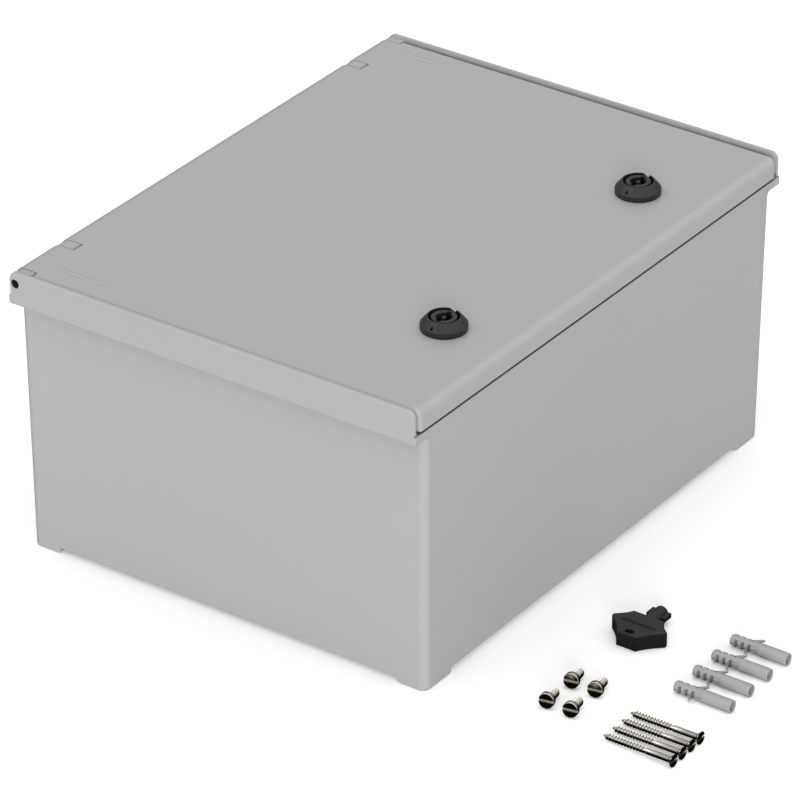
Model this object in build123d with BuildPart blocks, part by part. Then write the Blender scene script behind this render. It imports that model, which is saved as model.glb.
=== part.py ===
from build123d import *
from math import atan2, cos, degrees, radians, sin
import os

# A wall cabinet of moulded plastic for electrical gear, lying on its back.
# X runs from the hinge side to the lock side, Y along the hinge line up the wall, Z out of the door.
# The origin is the middle of the back, on the faces of the four feet. All sizes are in millimetres.

# Body: a tapered tub with a rail across each end
cabinet_width = 300.0
cabinet_height = 400.0
rim_level = 182.2
back_taper_x = 1.3
back_taper_y = 2.9
wall = 3.5
floor_thickness = 3.5
corner_radius = 5.5
rail_overhang = 10.1
rail_thickness = 2.6
rail_rise = 16.8
rail_band = 5.2
rail_cove_radius = 4.0
rail_cove_turn = 18
rail_end_inset = 1.0
rail_corner_radius = 5.0
rail_edge_radius = 0.8
shelf_thickness = 3.5

# Feet and fixings in the floor
foot_height = 4.0
foot_length_x = 21.0
foot_length_y = 27.0
foot_edge_radius = 0.8
foot_step_radius = 1.5
foot_end_radius = 2.2
wall_hole_inset_x = 15.0
wall_hole_inset_y = 30.0
wall_hole_diameter = 6.0
wall_hole_sink_diameter = 10.0
boss_inset = 37.5
boss_diameter = 14.0
boss_height = 12.5
boss_rib_length = 26.0
boss_rib_thickness = 2.0
boss_rib_height = 8.0
insert_diameter = 9.0
insert_bore = 5.0
insert_length = 10.0

# Door: a plate with a skirt on three sides and a rolled hinge edge
door_gap = 1.6
door_depth = 13.9
door_end_gap = 2.4
door_thickness = 3.0
skirt_thickness = 3.0
door_edge_radius = 5.0
door_corner_radius = 2.5
ridge_length = 36.0
ridge_width = 1.8
ridge_height = 0.8
ridge_round = 0.6
ridge_from_hinge = 36.0
ridge_from_end = 15.4

# Hinge: knuckles of the door turn on two pins held in ears of the body
hinge_inset = 5.0
barrel_radius = 6.6
barrel_wall = 3.0
pin_diameter = 6.0
pin_recess = 0.5
ear_relief = 0.5
ear_reach_relief = 0.3
ear_gap_above = 0.3
ear_gap_below = 1.1
window_depth = 10.5
outer_window_width = 4.8
inner_window_width = 9.6
inner_window_from_end = 49.3
knuckle_overrun = 4.0

# Seal: a soft strip in the door, which meets a collar standing on the rim
gasket_width = 8.0
gasket_thickness = 6.0
gasket_proud = 0.5
rib_thickness = 2.0
collar_thickness = 2.5
seal_corner_radius = 8.0

# Locks: a round bezel with a key barrel, a nut behind the door and a turning tongue
lock_from_end = 94.5
lock_inset = 45.3
bezel_radius = 14.5
bezel_rim_height = 3.6
bezel_top_radius = 10.4
bezel_height = 8.5
bezel_bore_radius = 9.7
bezel_bore_depth = 6.5
stem_radius = 9.5
barrel_plug_radius = 8.0
barrel_plug_drop = 0.4
barrel_collar_radius = 9.2
barrel_collar_thickness = 0.8
keyhole_radius = 5.0
keyhole_depth = 13.0
bit_slot_width = 3.2
bit_slot_reach = 6.9
guide_pin_radius = 1.5
guide_pin_drop = 0.3
lock_mark_width = 3.4
lock_mark_depth = 2.6
lock_mark_slope = 35.0
wire_hole_diameter = 1.8
wire_hole_from_centre = 12.9
lock_seal_inner_radius = 10.4
lock_seal_outer_radius = 12.8
lock_seal_thickness = 1.0
nut_across_flats = 26.0
nut_thickness = 5.0
tang_width = 8.0
tongue_thickness = 3.0
tongue_hub_radius = 9.0
tongue_tip_width = 14.0
tongue_tip_radius = 3.0
washer_radius = 6.25
washer_thickness = 1.2
cam_screw_diameter = 5.0
cam_screw_length = 12.0
cam_screw_head = 8.0
cam_screw_head_height = 3.5

# Clearances
seat_clearance = 0.02
running_clearance = 0.06
face_clearance = 0.3
door_hole_clearance = 0.1
tongue_tip_clearance = 1.5
tongue_top_clearance = 0.6

# Loose kit beside the cabinet: the key for the locks, and fixings for the plate and the wall
key_x = 219.4
key_near_end_y = -77.2
key_thickness = 10.5
key_length = 40.8
key_handle_length = 25.8
key_end_width = 14.0
key_wing_width = 38.6
key_wing_start = 14.3
key_wing_end = 16.0
key_shoulder_width = 22.0
key_side_dish = 1.2
key_barrel_radius = 4.5
key_barrel_bore = 3.3
key_barrel_bore_depth = 11.0
key_bit_span = 13.4
key_bit_width = 3.0
key_bit_length = 8.0
key_groove_length = 24.0
key_groove_width = 2.8
key_groove_depth = 1.0
key_groove_y = 14.0
key_eye_length = 6.0
key_eye_width = 4.0
key_eye_y = 3.8
key_edge_radius = 0.8

plate_screw_centre = (225.5, -147.0)
plate_screw_pitch = (17.0, 26.6)
plate_screw_heading = 101.5
plate_screw_diameter = 6.0
plate_screw_length = 12.0
plate_screw_head_diameter = 10.0
plate_screw_head_height = 3.9
plate_screw_slot = 1.6
plate_screw_slot_depth = 1.8

kit_count = 4
wall_screw_head_x = 312.3
wall_screw_middle_y = -153.8
wall_screw_pitch = 9.8
wall_screw_heading = 177.6
wall_screw_diameter = 4.2
wall_screw_neck_diameter = 4.0
wall_screw_length = 50.0
wall_screw_head_diameter = 8.3
wall_screw_slot = 1.2
wall_screw_slot_depth = 1.3
wall_screw_thread_length = 30.0
wall_screw_point_length = 5.0
wall_screw_point_radius = 0.6

wall_plug_x = 269.5
wall_plug_middle_y = -68.0
wall_plug_pitch = 21.0
wall_plug_diameter = 8.0
wall_plug_length = 40.0
wall_plug_bore = 5.0
wall_plug_bore_depth = 30.0
wall_plug_nose_bevel = 1.2
wall_plug_split = 1.2
wall_plug_split_length = 20.0
wall_plug_groove_start = 4.3
wall_plug_groove_pitch = 3.8
wall_plug_groove_depth = 1.0
wall_plug_groove_width = 1.5
wall_plug_grooves = 3
wall_plug_barb_root = 4.0
wall_plug_barb_sweep = 5.0
wall_plug_barb_reach = 3.4
wall_plug_barb_height = 2.0
wall_plug_barb_tip = 1.2
wall_plug_near_barb_x = 10.0
wall_plug_far_barb_x = 13.5

# Places worked out from the sizes above
half_width = cabinet_width / 2
half_height = cabinet_height / 2
rim_half_height = half_height - rail_overhang
rail_bottom = rim_level - rail_band
shelf_underside = rim_level - shelf_thickness
floor_top = foot_height + floor_thickness

door_bottom = rim_level + door_gap
door_top = door_bottom + door_depth
door_underside = door_top - door_thickness
door_half_height = half_height - rail_thickness - door_end_gap

hinge_x = -half_width + hinge_inset
hinge_level = door_top - barrel_radius
ear_radius = barrel_radius - ear_relief
ear_reach = window_depth - ear_reach_relief
pin_radius = pin_diameter / 2
window_edge = hinge_x + window_depth
outer_window = door_half_height - outer_window_width
inner_window_far = door_half_height - inner_window_from_end + inner_window_width
inner_window_near = door_half_height - inner_window_from_end
rail_face = half_height - rail_thickness

seal_left = window_edge + rib_thickness + gasket_width / 2
seal_right = half_width - skirt_thickness - gasket_width / 2
seal_half_height = door_half_height - skirt_thickness - gasket_width / 2
collar_top = door_underside - gasket_thickness - face_clearance
rib_bottom = door_underside - gasket_thickness + gasket_proud

lock_x = half_width - lock_inset
lock_y = half_height - lock_from_end
tongue_top = shelf_underside - tongue_top_clearance
tongue_bottom = tongue_top - tongue_thickness
tongue_length = lock_inset - wall - tongue_tip_clearance
stem_bottom = tongue_top + face_clearance
stem_bore_radius = barrel_plug_radius + running_clearance
bezel_top = door_top + bezel_height
plug_top = bezel_top - barrel_plug_drop
counterbore_floor = bezel_top - bezel_bore_depth
collar_seat = counterbore_floor + running_clearance

upward = (0, 0, 1)


def outer_half_x(level):
    """Half the tub's outer width at a level; the walls lean in towards the back."""
    return half_width - back_taper_x * (1 - level / rim_level)


def outer_half_y(level):
    """Half the tub's outer height at a level."""
    return rim_half_height - back_taper_y * (1 - level / rim_level)


def tub_outline(level, inset):
    """The tub's rounded outline at a level, moved inwards by inset."""
    with BuildSketch(Plane.XY.offset(level)) as outline:
        RectangleRounded(
            2 * (outer_half_x(level) - inset),
            2 * (outer_half_y(level) - inset),
            corner_radius - min(inset, corner_radius * 0.8),
        )
    return outline.sketch


def cove_outline(turn):
    """The tub's outline on the hollow curve under the rails, at a turn of 0 (wall) to 90 (rail)."""
    level = rail_bottom - rail_cove_radius * (1 - sin(radians(turn)))
    reach = rail_cove_radius * (1 - cos(radians(turn)))
    with BuildSketch(Plane.XY.offset(level)) as outline:
        RectangleRounded(2 * outer_half_x(level), 2 * (outer_half_y(level) + reach), corner_radius)
    return outline.sketch


def seal_outline(level, outset):
    """The line of the seal as a filled outline, moved outwards by outset."""
    with BuildSketch(Plane.XY.offset(level)) as outline:
        with Locations(((seal_left + seal_right) / 2, 0)):
            RectangleRounded(
                seal_right - seal_left + 2 * outset,
                2 * (seal_half_height + outset),
                seal_corner_radius + outset,
            )
    return outline.sketch


def seal_band(level, inner, outer):
    """The band between two outsets of the line of the seal."""
    with BuildSketch(Plane.XY.offset(level)) as band:
        with Locations(((seal_left + seal_right) / 2, 0)):
            for outset, mode in ((outer, Mode.ADD), (inner, Mode.SUBTRACT)):
                RectangleRounded(
                    seal_right - seal_left + 2 * outset,
                    2 * (seal_half_height + outset),
                    seal_corner_radius + outset,
                    mode=mode,
                )
    return band.sketch


def upright(x, y):
    """A vertical plane through a point, on which a turned piece's half profile is drawn."""
    return Plane((x, y, 0), x_dir=(1, 0, 0), z_dir=(0, -1, 0))


def lengthwise(y):
    """A plane across the hinge line at y, whose local axes are X and Z."""
    return Plane((0, y, 0), x_dir=(1, 0, 0), z_dir=(0, -1, 0))


# Body shell
with BuildPart() as body_shell:
    add(loft([tub_outline(0, 0).face(), tub_outline(rim_level, 0).face()], ruled=True, mode=Mode.PRIVATE))

    # The end rails stand out from the end walls, on a band that meets each wall in a hollow curve
    for turn in range(0, 90, rail_cove_turn):
        steps = [cove_outline(turn).face(), cove_outline(turn + rail_cove_turn).face()]
        add(loft(steps, ruled=True, mode=Mode.PRIVATE))
    for end in (-1, 1):
        with BuildSketch(Plane.YZ):
            with Locations((end * (half_height + rim_half_height - wall) / 2, rim_level - rail_band / 2)):
                Rectangle(half_height - rim_half_height + wall, rail_band)
        extrude(amount=half_width, both=True)
        with BuildSketch(Plane.YZ):
            with Locations((end * (half_height - rail_thickness / 2), rim_level + rail_rise / 2)):
                Rectangle(rail_thickness, rail_rise)
        extrude(amount=half_width - rail_end_inset, both=True)
    rail_corners = body_shell.edges().filter_by(Axis.Y).group_by(Axis.Z)[-1]
    fillet(rail_corners, radius=rail_corner_radius)
    rail_edges = [
        edge for edge in body_shell.edges()
        if abs(abs(edge.center().Y) - half_height) < 0.01
        and edge.center().Z > rail_bottom + 0.01 and abs(edge.center().Z - rim_level) > 0.01
    ]
    fillet(rail_edges, radius=rail_edge_radius)

    # Inside: the tapered hollow below the rim, and the mouth through it
    add(
        loft([tub_outline(floor_top, wall).face(), tub_outline(shelf_underside, wall).face()],
             ruled=True, mode=Mode.PRIVATE),
        mode=Mode.SUBTRACT,
    )
    collar = seal_band(rim_level, -collar_thickness / 2, collar_thickness / 2)
    extrude(collar, amount=collar_top - rim_level)
    mouth = seal_outline(shelf_underside, -collar_thickness / 2)
    extrude(mouth, amount=shelf_thickness, mode=Mode.SUBTRACT)

    # Feet: what is left at the corners when a cross is sunk into the back
    with BuildSketch(Plane.XY):
        Rectangle(2 * (outer_half_x(0) - foot_length_x), cabinet_height)
        Rectangle(cabinet_width + wall, 2 * (outer_half_y(0) - foot_length_y))
    extrude(amount=foot_height, mode=Mode.SUBTRACT)
    foot_steps = [
        edge for edge in body_shell.edges().filter_by(GeomType.LINE)
        if abs(edge.center().Z - foot_height) < 0.01
        and abs(edge.center().X) > outer_half_x(0) - foot_length_x - 0.01
        and abs(edge.center().Y) > outer_half_y(0) - foot_length_y - 0.01
        and edge.length < foot_length_y + wall
        and min(abs(abs(edge.center().X) - outer_half_x(0) + foot_length_x),
                abs(abs(edge.center().Y) - outer_half_y(0) + foot_length_y)) < 0.01
    ]
    fillet(foot_steps, radius=foot_step_radius)
    foot_ends = [
        edge for edge in body_shell.edges().group_by(Axis.Z)[0].filter_by(GeomType.LINE)
        if min(abs(abs(edge.center().X) - outer_half_x(0) + foot_length_x),
               abs(abs(edge.center().Y) - outer_half_y(0) + foot_length_y)) < 0.01
    ]
    fillet(foot_ends, radius=foot_end_radius)
    fillet(body_shell.edges().group_by(Axis.Z)[0], radius=foot_edge_radius)

    # Hinge ears, beside each rail and further in: a round head on a short web, filled out towards
    # the door as far as the door's edge leaves free when it turns
    for end in (-1, 1):
        inner_gap, outer_gap = (ear_gap_above, ear_gap_below) if end < 0 else (ear_gap_below, ear_gap_above)
        for near, far in (
            (inner_window_near + inner_gap, inner_window_far - outer_gap),
            (outer_window + inner_gap, rail_face),
        ):
            with BuildSketch(lengthwise(end * near)):
                with Locations((hinge_x, hinge_level)):
                    Circle(ear_reach)
                with Locations((hinge_x + ear_reach / 2, (hinge_level + ear_radius + rim_level) / 2)):
                    Rectangle(ear_reach, hinge_level + ear_radius - rim_level, mode=Mode.INTERSECT)
                with Locations((hinge_x, hinge_level)):
                    Circle(ear_radius)
                with Locations((hinge_x, (hinge_level + rim_level) / 2)):
                    Rectangle(2 * hinge_inset, hinge_level - rim_level)
            extrude(amount=-end * (far - near))
        with BuildSketch(lengthwise(end * half_height)):
            with Locations((hinge_x, hinge_level)):
                Circle(pin_radius + seat_clearance)
        extrude(amount=end * (half_height - inner_window_near), mode=Mode.SUBTRACT)

    # Bosses for the mounting plate, each on crossed ribs
    with BuildSketch(Plane.XY.offset(floor_top)):
        with GridLocations(cabinet_width - 2 * boss_inset, cabinet_height - 2 * boss_inset, 2, 2):
            Rectangle(boss_rib_length, boss_rib_thickness)
            Rectangle(boss_rib_thickness, boss_rib_length)
    extrude(amount=boss_rib_height)
    with BuildSketch(Plane.XY.offset(floor_top)):
        with GridLocations(cabinet_width - 2 * boss_inset, cabinet_height - 2 * boss_inset, 2, 2):
            Circle(boss_diameter / 2)
    extrude(amount=boss_height)
    with BuildSketch(Plane.XY.offset(floor_top + boss_height)):
        with GridLocations(cabinet_width - 2 * boss_inset, cabinet_height - 2 * boss_inset, 2, 2):
            Circle(insert_diameter / 2 + seat_clearance)
    extrude(amount=-insert_length, mode=Mode.SUBTRACT)

    # Wall fixing holes through the feet, sunk for the screw heads on the inside
    with Locations(Plane.XY.offset(floor_top)):
        with GridLocations(cabinet_width - 2 * wall_hole_inset_x, cabinet_height - 2 * wall_hole_inset_y, 2, 2):
            CounterSinkHole(wall_hole_diameter / 2, wall_hole_sink_diameter / 2)

# Brass inserts in the bosses
with BuildPart() as plate_inserts:
    with BuildSketch(Plane.XY.offset(floor_top + boss_height)):
        with GridLocations(cabinet_width - 2 * boss_inset, cabinet_height - 2 * boss_inset, 2, 2):
            Circle(insert_diameter / 2)
            Circle(insert_bore / 2, mode=Mode.SUBTRACT)
    extrude(amount=-insert_length)


def make_pin(end):
    """A hinge pin, from just inside the rail's face to the far side of the inner ear."""
    with BuildPart() as pin:
        with BuildSketch(lengthwise(end * (half_height - pin_recess))):
            with Locations((hinge_x, hinge_level)):
                Circle(pin_radius)
        extrude(amount=end * (half_height - pin_recess - inner_window_near - ear_gap_below))
        chamfer(pin.edges().filter_by(GeomType.CIRCLE), length=0.4)
    return pin.part


# Door panel
with BuildPart() as door_panel:
    with BuildSketch(lengthwise(0)):
        with BuildLine():
            shoulder = (half_width - door_edge_radius, door_top)
            side = (half_width, door_top - door_edge_radius)
            TangentArc(shoulder, side, tangent=(1, 0))
            Polyline(side, (half_width, door_bottom), (hinge_x, door_bottom), (hinge_x, door_top), shoulder)
        make_face()
    extrude(amount=door_half_height, both=True)
    end_edges = [
        edge for edge in door_panel.edges()
        if abs(abs(edge.center().Y) - door_half_height) < 0.01
        and edge.center().Z > door_bottom + 0.01 and edge.center().X > hinge_x + 0.01
    ]
    fillet(end_edges, radius=door_corner_radius)

    # The hinge edge is rolled round the pin line
    with BuildSketch(lengthwise(0)):
        with Locations((hinge_x, hinge_level)):
            Circle(barrel_radius)
    extrude(amount=outer_window, both=True)

    # The hollow under the plate stops short of the rolled edge
    barrel_side = hinge_x + barrel_radius
    with BuildSketch(Plane.XY.offset(door_bottom)):
        with Locations(((barrel_side + half_width - skirt_thickness) / 2, 0)):
            Rectangle(half_width - skirt_thickness - barrel_side, 2 * (door_half_height - skirt_thickness))
    extrude(amount=door_underside - door_bottom, mode=Mode.SUBTRACT)
    with BuildSketch(lengthwise(0)):
        with Locations(((hinge_x + barrel_side) / 2, (door_underside + door_bottom) / 2)):
            Rectangle(barrel_radius, door_underside - door_bottom)
        with Locations((hinge_x, hinge_level)):
            Circle(barrel_radius, mode=Mode.SUBTRACT)
    extrude(amount=door_half_height, both=True, mode=Mode.SUBTRACT)

    # Between the inner ears the rolled edge is an open lip
    with BuildSketch(lengthwise(0)):
        with Locations((hinge_x, hinge_level)):
            Circle(barrel_radius - barrel_wall)
        with Locations((hinge_x + barrel_radius / 2, (door_underside + door_bottom) / 2)):
            Rectangle(barrel_radius, door_underside - door_bottom)
    extrude(amount=inner_window_near - knuckle_overrun, both=True, mode=Mode.SUBTRACT)

    # Walls of the seal's channel
    gasket_edge = gasket_width / 2
    extrude(seal_band(rib_bottom, gasket_edge, gasket_edge + rib_thickness), amount=door_underside - rib_bottom)
    extrude(seal_band(rib_bottom, -gasket_edge - rib_thickness, -gasket_edge),
            amount=door_underside - rib_bottom)

    # Windows for the body's ears, and the bore for the pins
    for end in (-1, 1):
        for near, far in ((inner_window_near, inner_window_far), (outer_window, half_height)):
            with BuildSketch(Plane.XY.offset(door_bottom - barrel_radius)):
                with Locations(((window_edge - half_width - barrel_radius) / 2, end * (near + far) / 2)):
                    Rectangle(window_edge + half_width + barrel_radius, far - near)
            extrude(amount=door_depth + 2 * barrel_radius, mode=Mode.SUBTRACT)
        with BuildSketch(lengthwise(end * half_height)):
            with Locations((hinge_x, hinge_level)):
                Circle(pin_radius + running_clearance)
        extrude(amount=end * (half_height - inner_window_near + 2 * knuckle_overrun), mode=Mode.SUBTRACT)

    # Two thin ridges near the hinge corners
    with BuildSketch(Plane.XY.offset(door_top)):
        with Locations((hinge_x + ridge_from_hinge, 0)):
            with GridLocations(1, 2 * (door_half_height - ridge_from_end), 1, 2):
                SlotOverall(ridge_length, ridge_width)
    extrude(amount=ridge_height)
    fillet(door_panel.edges().group_by(Axis.Z)[-1], radius=ridge_round)

    # Holes for the locks
    with BuildSketch(Plane.XY.offset(door_top)):
        with Locations((lock_x, 0)):
            with GridLocations(1, 2 * lock_y, 1, 2):
                Circle(stem_radius + door_hole_clearance)
    extrude(amount=-door_thickness, mode=Mode.SUBTRACT)

# Soft strip in the door's channel
with BuildPart() as door_gasket:
    extrude(seal_band(door_underside - gasket_thickness, -gasket_width / 2, gasket_width / 2),
            amount=gasket_thickness)


def make_bezel(y):
    """The lock's housing: a flat-topped cone outside the door, on a stem through it."""
    with BuildPart() as bezel:
        with BuildSketch(upright(lock_x, y)):
            with BuildLine():
                Polyline(
                    (stem_bore_radius, stem_bottom), (stem_radius, stem_bottom), (stem_radius, door_top),
                    (bezel_radius, door_top), (bezel_radius, door_top + bezel_rim_height),
                    (bezel_top_radius, bezel_top), (bezel_bore_radius, bezel_top),
                    (bezel_bore_radius, counterbore_floor), (stem_bore_radius, counterbore_floor),
                    close=True,
                )
            make_face()
        revolve(axis=Axis((lock_x, y, 0), upward))
        # Groove under the rim for the seal ring
        with BuildSketch(Plane.XY.offset(door_top)):
            with Locations((lock_x, y)):
                Circle(lock_seal_outer_radius + seat_clearance)
                Circle(lock_seal_inner_radius - seat_clearance, mode=Mode.SUBTRACT)
        extrude(amount=lock_seal_thickness, mode=Mode.SUBTRACT)
        # A notch in the lip as a mark, and a hole for a sealing wire opposite
        slope = radians(lock_mark_slope)
        lip_edge = Plane((lock_x, y + bezel_bore_radius, bezel_top), x_dir=(1, 0, 0),
                         z_dir=(0, cos(slope), -sin(slope)))
        with BuildSketch(lip_edge):
            with BuildLine():
                Polyline((-lock_mark_width, -lock_mark_depth), (lock_mark_width, -lock_mark_depth),
                         (0, lock_mark_depth), close=True)
            make_face()
        extrude(amount=bezel_radius / 2, both=True, mode=Mode.SUBTRACT)
        with BuildSketch(Plane.XY.offset(bezel_top)):
            with Locations((lock_x, y - wire_hole_from_centre)):
                Circle(wire_hole_diameter / 2)
        extrude(amount=-(bezel_height - bezel_rim_height / 2), mode=Mode.SUBTRACT)
    return bezel.part


def make_barrel(y):
    """The turning plug with its double-bit keyhole, and the square tang that drives the tongue."""
    with BuildPart() as barrel:
        with BuildSketch(upright(lock_x, y)):
            with BuildLine():
                Polyline(
                    (0, stem_bottom), (barrel_plug_radius, stem_bottom), (barrel_plug_radius, collar_seat),
                    (barrel_collar_radius, collar_seat),
                    (barrel_collar_radius, collar_seat + barrel_collar_thickness),
                    (barrel_plug_radius, collar_seat + barrel_collar_thickness),
                    (barrel_plug_radius, plug_top), (0, plug_top),
                    close=True,
                )
            make_face()
        revolve(axis=Axis((lock_x, y, 0), upward))
        with BuildSketch(Plane.XY.offset(plug_top)):
            with Locations((lock_x, y)):
                Circle(keyhole_radius)
                Rectangle(bit_slot_width, 2 * bit_slot_reach)
        extrude(amount=-keyhole_depth, mode=Mode.SUBTRACT)
        with BuildSketch(Plane.XY.offset(plug_top - keyhole_depth)):
            with Locations((lock_x, y)):
                Circle(guide_pin_radius)
        extrude(amount=keyhole_depth - guide_pin_drop)
        with BuildSketch(Plane.XY.offset(stem_bottom)):
            with Locations((lock_x, y)):
                Rectangle(tang_width, tang_width)
        extrude(amount=-(stem_bottom - tongue_bottom - seat_clearance))
        with BuildSketch(Plane.XY.offset(tongue_bottom)):
            with Locations((lock_x, y)):
                Circle(cam_screw_diameter / 2 + seat_clearance)
        extrude(amount=cam_screw_length, mode=Mode.SUBTRACT)
    return barrel.part


def make_lock_seal(y):
    """A flat rubber ring in the groove under the bezel."""
    with BuildPart() as seal:
        with BuildSketch(Plane.XY.offset(door_top)):
            with Locations((lock_x, y)):
                Circle(lock_seal_outer_radius)
                Circle(lock_seal_inner_radius, mode=Mode.SUBTRACT)
        extrude(amount=lock_seal_thickness)
    return seal.part


def make_nut(y):
    """The six-sided nut that holds the housing from inside the door."""
    with BuildPart() as nut:
        with BuildSketch(Plane.XY.offset(door_underside)):
            with Locations((lock_x, y)):
                RegularPolygon(nut_across_flats / 2, 6, major_radius=False)
                Circle(stem_radius + seat_clearance, mode=Mode.SUBTRACT)
        extrude(amount=-nut_thickness)
    return nut.part


def make_tongue(y):
    """The flat tongue, lying along the door's edge while the lock is open."""
    with BuildPart() as tongue:
        with BuildSketch(Plane.XY.offset(tongue_top)) as outline:
            with Locations((lock_x, y)):
                Circle(tongue_hub_radius)
            with Locations((lock_x, y - tongue_length / 2)):
                Rectangle(tongue_tip_width, tongue_length)
            fillet(outline.vertices().group_by(Axis.Y)[0], radius=tongue_tip_radius)
            with Locations((lock_x, y)):
                Rectangle(tang_width + 2 * seat_clearance, tang_width + 2 * seat_clearance, mode=Mode.SUBTRACT)
        extrude(amount=-tongue_thickness)
    return tongue.part


def make_washer(y):
    """The washer under the tongue."""
    with BuildPart() as washer:
        with BuildSketch(Plane.XY.offset(tongue_bottom)):
            with Locations((lock_x, y)):
                Circle(washer_radius)
                Circle(cam_screw_diameter / 2 + seat_clearance, mode=Mode.SUBTRACT)
        extrude(amount=-washer_thickness)
    return washer.part


def make_cam_screw(y):
    """The six-sided screw that clamps the tongue and washer to the tang."""
    head_face = tongue_bottom - washer_thickness
    with BuildPart() as screw:
        with BuildSketch(Plane.XY.offset(head_face)):
            with Locations((lock_x, y)):
                RegularPolygon(cam_screw_head / 2, 6, major_radius=False)
        extrude(amount=-cam_screw_head_height)
        with BuildSketch(Plane.XY.offset(head_face)):
            with Locations((lock_x, y)):
                Circle(cam_screw_diameter / 2)
        extrude(amount=cam_screw_length)
    return screw.part


def lying_plane(x, y, head_radius, head_drop, tip_radius, tip_distance, heading):
    """A plane on the head face of a screw that lies on its head rim and on its tip."""
    tilt = atan2(head_radius - tip_radius, tip_distance)
    level = head_radius * cos(tilt) + head_drop * sin(tilt)
    along = (
        cos(radians(heading)) * cos(tilt),
        sin(radians(heading)) * cos(tilt),
        -sin(tilt),
    )
    across = (-sin(radians(heading)), cos(radians(heading)), 0)
    return Plane((x, y, level), x_dir=across, z_dir=along)


# Key: a winged handle, a hollow barrel and two bits
with BuildPart() as key:
    with BuildSketch(Plane((key_x, key_near_end_y, 0))):
        with BuildLine():
            end_corner = (key_end_width / 2, 0)
            wing_near = (key_wing_width / 2, key_wing_start)
            wing_far = (key_wing_width / 2, key_wing_end)
            shoulder = (key_shoulder_width / 2, key_handle_length)
            Line((0, 0), end_corner)
            SagittaArc(end_corner, wing_near, key_side_dish)
            Line(wing_near, wing_far)
            SagittaArc(wing_far, shoulder, key_side_dish)
            Line(shoulder, (0, key_handle_length))
            mirror(about=Plane.YZ)
        make_face()
    extrude(amount=key_thickness)
    fillet(key.edges().filter_by(Axis.Z), radius=key_edge_radius)
    fillet(key.edges().group_by(Axis.Z)[-1], radius=key_edge_radius)
    fillet(key.edges().group_by(Axis.Z)[0], radius=key_edge_radius)
    with BuildSketch(Plane((key_x, key_near_end_y + key_handle_length - key_edge_radius, key_thickness / 2),
                           x_dir=(1, 0, 0), z_dir=(0, 1, 0))):
        Circle(key_barrel_radius)
    extrude(amount=key_length - key_handle_length + key_edge_radius)
    with BuildSketch(Plane((key_x, key_near_end_y + key_length, key_thickness / 2),
                           x_dir=(1, 0, 0), z_dir=(0, 1, 0))):
        Rectangle(key_bit_span, key_bit_width)
    extrude(amount=-key_bit_length)
    with BuildSketch(Plane((key_x, key_near_end_y + key_length, key_thickness / 2),
                           x_dir=(1, 0, 0), z_dir=(0, 1, 0))):
        Circle(key_barrel_bore / 2)
    extrude(amount=-key_barrel_bore_depth, mode=Mode.SUBTRACT)
    with BuildSketch(Plane((key_x, key_near_end_y + key_groove_y, key_thickness))):
        SlotOverall(key_groove_length, key_groove_width)
    extrude(amount=-key_groove_depth, mode=Mode.SUBTRACT)
    with BuildSketch(Plane((key_x, key_near_end_y + key_eye_y, key_thickness))):
        SlotOverall(key_eye_length, key_eye_width)
    extrude(amount=-key_thickness, mode=Mode.SUBTRACT)

# Machine screws for the mounting plate
plate_screw_planes = [
    lying_plane(
        plate_screw_centre[0] + side * plate_screw_pitch[0] / 2,
        plate_screw_centre[1] + row * plate_screw_pitch[1] / 2,
        plate_screw_head_diameter / 2, plate_screw_head_height,
        plate_screw_diameter / 2, plate_screw_length, plate_screw_heading,
    )
    for side in (-1, 1) for row in (-1, 1)
]
with BuildPart() as plate_screws:
    with BuildSketch(*plate_screw_planes):
        Circle(plate_screw_head_diameter / 2)
    extrude(amount=plate_screw_head_height)
    with BuildSketch(*[plane.offset(plate_screw_head_height) for plane in plate_screw_planes]):
        Circle(plate_screw_diameter / 2)
    extrude(amount=plate_screw_length)
    with BuildSketch(*plate_screw_planes):
        Rectangle(plate_screw_head_diameter, plate_screw_slot)
    extrude(amount=plate_screw_slot_depth, mode=Mode.SUBTRACT)

# Countersunk screws for the wall
wall_screw_head_height = (wall_screw_head_diameter - wall_screw_neck_diameter) / 2
wall_screw_thread_start = wall_screw_length - wall_screw_thread_length
wall_screw_point_start = wall_screw_length - wall_screw_point_length
wall_screw_point_taper = degrees(
    atan2(wall_screw_diameter / 2 - wall_screw_point_radius, wall_screw_point_length)
)
wall_screw_planes = [
    lying_plane(
        wall_screw_head_x, wall_screw_middle_y + (place - (kit_count - 1) / 2) * wall_screw_pitch,
        wall_screw_head_diameter / 2, 0, wall_screw_diameter / 2, wall_screw_point_start, wall_screw_heading,
    )
    for place in range(kit_count)
]
with BuildPart() as wall_screws:
    with BuildSketch(*wall_screw_planes):
        Circle(wall_screw_head_diameter / 2)
    extrude(amount=wall_screw_head_height, taper=45)
    with BuildSketch(*[plane.offset(wall_screw_head_height) for plane in wall_screw_planes]):
        Circle(wall_screw_neck_diameter / 2)
    extrude(amount=wall_screw_thread_start - wall_screw_head_height)
    with BuildSketch(*[plane.offset(wall_screw_thread_start) for plane in wall_screw_planes]):
        Circle(wall_screw_diameter / 2)
    extrude(amount=wall_screw_point_start - wall_screw_thread_start)
    with BuildSketch(*[plane.offset(wall_screw_point_start) for plane in wall_screw_planes]):
        Circle(wall_screw_diameter / 2)
    extrude(amount=wall_screw_point_length, taper=wall_screw_point_taper)
    with BuildSketch(*wall_screw_planes):
        Rectangle(wall_screw_head_diameter, wall_screw_slot)
    extrude(amount=wall_screw_slot_depth, mode=Mode.SUBTRACT)

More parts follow.
